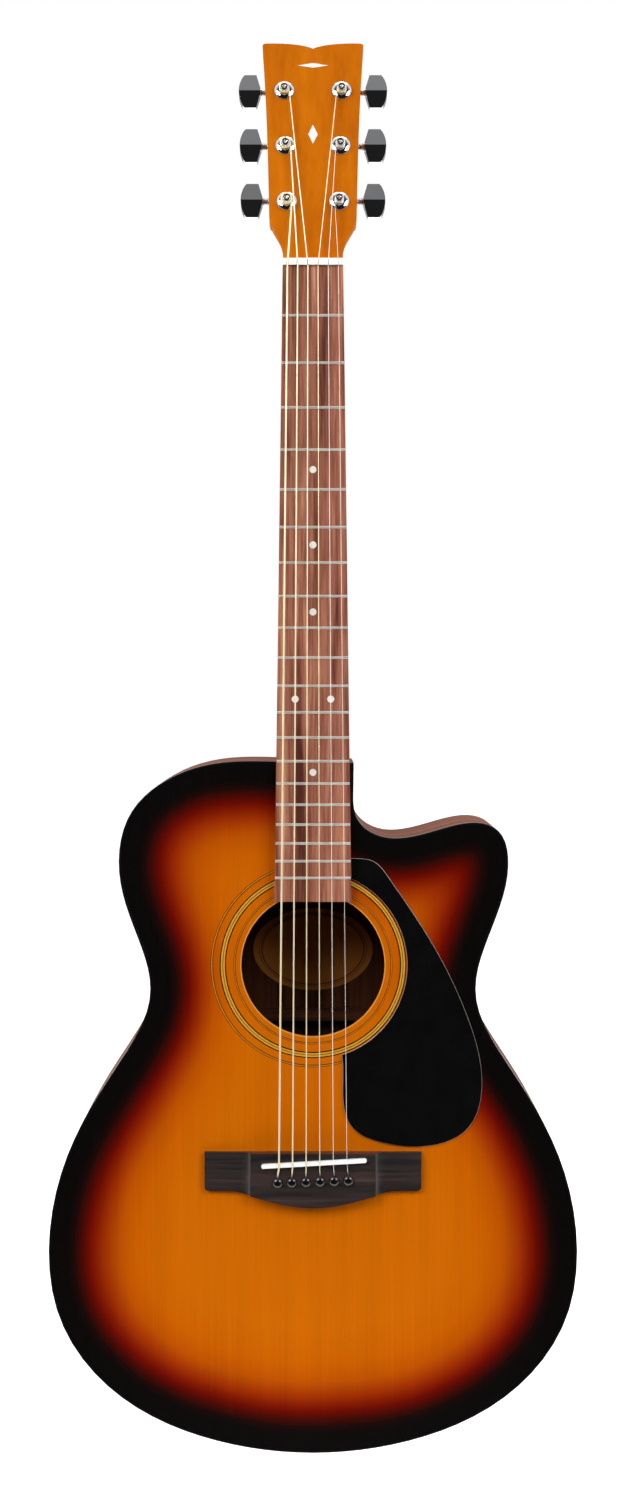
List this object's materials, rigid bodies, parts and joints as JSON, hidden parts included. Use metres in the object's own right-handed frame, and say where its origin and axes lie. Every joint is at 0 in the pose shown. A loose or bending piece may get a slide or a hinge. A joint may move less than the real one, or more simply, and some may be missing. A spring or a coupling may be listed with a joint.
{
  "type": "acoustic guitar",
  "caption": "Small-body cutaway steel-string acoustic guitar with sunburst top, geared tuners that turn the string posts and pull-out bridge pins.",
  "frame": {"origin": "centre line at the nut's front edge, in the plane where the fingerboard meets the soundboard", "axes": "+X towards the treble side, +Z along the neck to the headstock, -Y out of the front"},
  "size_m": [0.3764, 0.1192, 1.0149],
  "materials": {
    "burst_spruce": "gloss sunburst lacquer, orange centre to black edge",
    "back_wood": "dark reddish brown, satin",
    "rib_wood": "satin brown",
    "lining_wood": "raw",
    "brace_wood": "raw spruce",
    "plate_wood": "raw rosewood",
    "bridge_wood": "dark oiled rosewood",
    "fingerboard_wood": "streaked rosewood, satin",
    "neck_wood": "amber satin lacquer",
    "rosette_inlay": "inlaid rings",
    "pickguard_plastic": "black gloss",
    "black_binding": "black",
    "white_saddle": "white",
    "label_paper": "aged paper",
    "fret_nickel": "polished nickel silver",
    "pearl_dot": "pearl white",
    "rod_steel": "plain steel",
    "gear_brass": "machined",
    "wound_bronze": "bronze winding",
    "plain_steel": "plain steel wire",
    "tuner_chrome": "chrome plated",
    "pin_plastic": "black"
  },
  "bodies": {
    "guitar": {"soundboard": "burst_spruce", "back": "back_wood", "bass_rib": "rib_wood", "treble_rib": "rib_wood", "linings": "lining_wood", "neck_block": "lining_wood", "tail_block": "lining_wood", "top_braces": "brace_wood", "bridge_plate": "plate_wood", "back_braces": "brace_wood", "rosette": "rosette_inlay", "pickguard": "pickguard_plastic", "bindings": "black_binding", "bridge": "bridge_wood", "saddle": "white_saddle", "label": "label_paper", "neck": "neck_wood", "fingerboard": "fingerboard_wood", "frets": "fret_nickel", "nut": "white_saddle", "position_dots": "pearl_dot", "truss_rod": "rod_steel", "heel_cap": "black_binding", "wound_strings": "wound_bronze", "plain_strings": "plain_steel", "tuner_housings": "tuner_chrome", "tuner_covers": "tuner_chrome", "tuner_bushings": "tuner_chrome", "tuner_screws": "tuner_chrome"},
    "truss_nut": {"truss_rod_nut": "gear_brass"},
    "tuner_knob_1": {"knob_1": "tuner_chrome", "worm_1": "rod_steel"},
    "string_post_1": {"post_1": "tuner_chrome", "gear_1": "gear_brass"},
    "string_pin_1": {"bridge_pin_1": "pin_plastic"},
    "tuner_knob_2": {"knob_2": "tuner_chrome", "worm_2": "rod_steel"},
    "string_post_2": {"post_2": "tuner_chrome", "gear_2": "gear_brass"},
    "string_pin_2": {"bridge_pin_2": "pin_plastic"},
    "tuner_knob_3": {"knob_3": "tuner_chrome", "worm_3": "rod_steel"},
    "string_post_3": {"post_3": "tuner_chrome", "gear_3": "gear_brass"},
    "string_pin_3": {"bridge_pin_3": "pin_plastic"},
    "tuner_knob_4": {"knob_4": "tuner_chrome", "worm_4": "rod_steel"},
    "string_post_4": {"post_4": "tuner_chrome", "gear_4": "gear_brass"},
    "string_pin_4": {"bridge_pin_4": "pin_plastic"},
    "tuner_knob_5": {"knob_5": "tuner_chrome", "worm_5": "rod_steel"},
    "string_post_5": {"post_5": "tuner_chrome", "gear_5": "gear_brass"},
    "string_pin_5": {"bridge_pin_5": "pin_plastic"},
    "tuner_knob_6": {"knob_6": "tuner_chrome", "worm_6": "rod_steel"},
    "string_post_6": {"post_6": "tuner_chrome", "gear_6": "gear_brass"},
    "string_pin_6": {"bridge_pin_6": "pin_plastic"}
  },
  "joints": [
    {"name": "knob_turn_1", "type": "hinge", "parent": "guitar", "child": "tuner_knob_1", "pos_m": [-0.0188, 0.03368, 0.05309], "axis": [-1, 0, 0], "continuous": true},
    {"name": "post_turn_1", "type": "hinge", "parent": "guitar", "child": "string_post_1", "pos_m": [-0.0188, 0.01101, 0.04895], "axis": [0, -0.9703, 0.2419], "continuous": true},
    {"name": "pin_pull_1", "type": "slide", "parent": "guitar", "child": "string_pin_1", "axis": [0, -1, 0], "range_m": [0, 0.03]},
    {"name": "knob_turn_2", "type": "hinge", "parent": "guitar", "child": "tuner_knob_2", "pos_m": [-0.0198, 0.04424, 0.09544], "axis": [-1, 0, 0], "continuous": true},
    {"name": "post_turn_2", "type": "hinge", "parent": "guitar", "child": "string_post_2", "pos_m": [-0.0198, 0.02157, 0.0913], "axis": [0, -0.9703, 0.2419], "continuous": true},
    {"name": "pin_pull_2", "type": "slide", "parent": "guitar", "child": "string_pin_2", "axis": [0, -1, 0], "range_m": [0, 0.03]},
    {"name": "knob_turn_3", "type": "hinge", "parent": "guitar", "child": "tuner_knob_3", "pos_m": [-0.0208, 0.0548, 0.13779], "axis": [-1, 0, 0], "continuous": true},
    {"name": "post_turn_3", "type": "hinge", "parent": "guitar", "child": "string_post_3", "pos_m": [-0.0208, 0.03213, 0.13365], "axis": [0, -0.9703, 0.2419], "continuous": true},
    {"name": "pin_pull_3", "type": "slide", "parent": "guitar", "child": "string_pin_3", "axis": [0, -1, 0], "range_m": [0, 0.03]},
    {"name": "knob_turn_4", "type": "hinge", "parent": "guitar", "child": "tuner_knob_4", "pos_m": [0.0208, 0.0548, 0.13779], "axis": [1, 0, 0], "continuous": true},
    {"name": "post_turn_4", "type": "hinge", "parent": "guitar", "child": "string_post_4", "pos_m": [0.0208, 0.03213, 0.13365], "axis": [0, -0.9703, 0.2419], "continuous": true},
    {"name": "pin_pull_4", "type": "slide", "parent": "guitar", "child": "string_pin_4", "axis": [0, -1, 0], "range_m": [0, 0.03]},
    {"name": "knob_turn_5", "type": "hinge", "parent": "guitar", "child": "tuner_knob_5", "pos_m": [0.0198, 0.04424, 0.09544], "axis": [1, 0, 0], "continuous": true},
    {"name": "post_turn_5", "type": "hinge", "parent": "guitar", "child": "string_post_5", "pos_m": [0.0198, 0.02157, 0.0913], "axis": [0, -0.9703, 0.2419], "continuous": true},
    {"name": "pin_pull_5", "type": "slide", "parent": "guitar", "child": "string_pin_5", "axis": [0, -1, 0], "range_m": [0, 0.03]},
    {"name": "knob_turn_6", "type": "hinge", "parent": "guitar", "child": "tuner_knob_6", "pos_m": [0.0188, 0.03368, 0.05309], "axis": [1, 0, 0], "continuous": true},
    {"name": "post_turn_6", "type": "hinge", "parent": "guitar", "child": "string_post_6", "pos_m": [0.0188, 0.01101, 0.04895], "axis": [0, -0.9703, 0.2419], "continuous": true},
    {"name": "pin_pull_6", "type": "slide", "parent": "guitar", "child": "string_pin_6", "axis": [0, -1, 0], "range_m": [0, 0.03]},
    {"name": "truss_nut_turn", "type": "hinge", "parent": "guitar", "child": "truss_nut", "pos_m": [0, 0.007, -0.40529], "axis": [0, 0, 1], "range_deg": [-180, 180]}
  ],
  "couplings": [
    {"joint": "post_turn_1", "follows": "knob_turn_1", "ratio": 0.071429},
    {"joint": "post_turn_2", "follows": "knob_turn_2", "ratio": 0.071429},
    {"joint": "post_turn_3", "follows": "knob_turn_3", "ratio": 0.071429},
    {"joint": "post_turn_4", "follows": "knob_turn_4", "ratio": 0.071429},
    {"joint": "post_turn_5", "follows": "knob_turn_5", "ratio": 0.071429},
    {"joint": "post_turn_6", "follows": "knob_turn_6", "ratio": 0.071429}
  ]
}
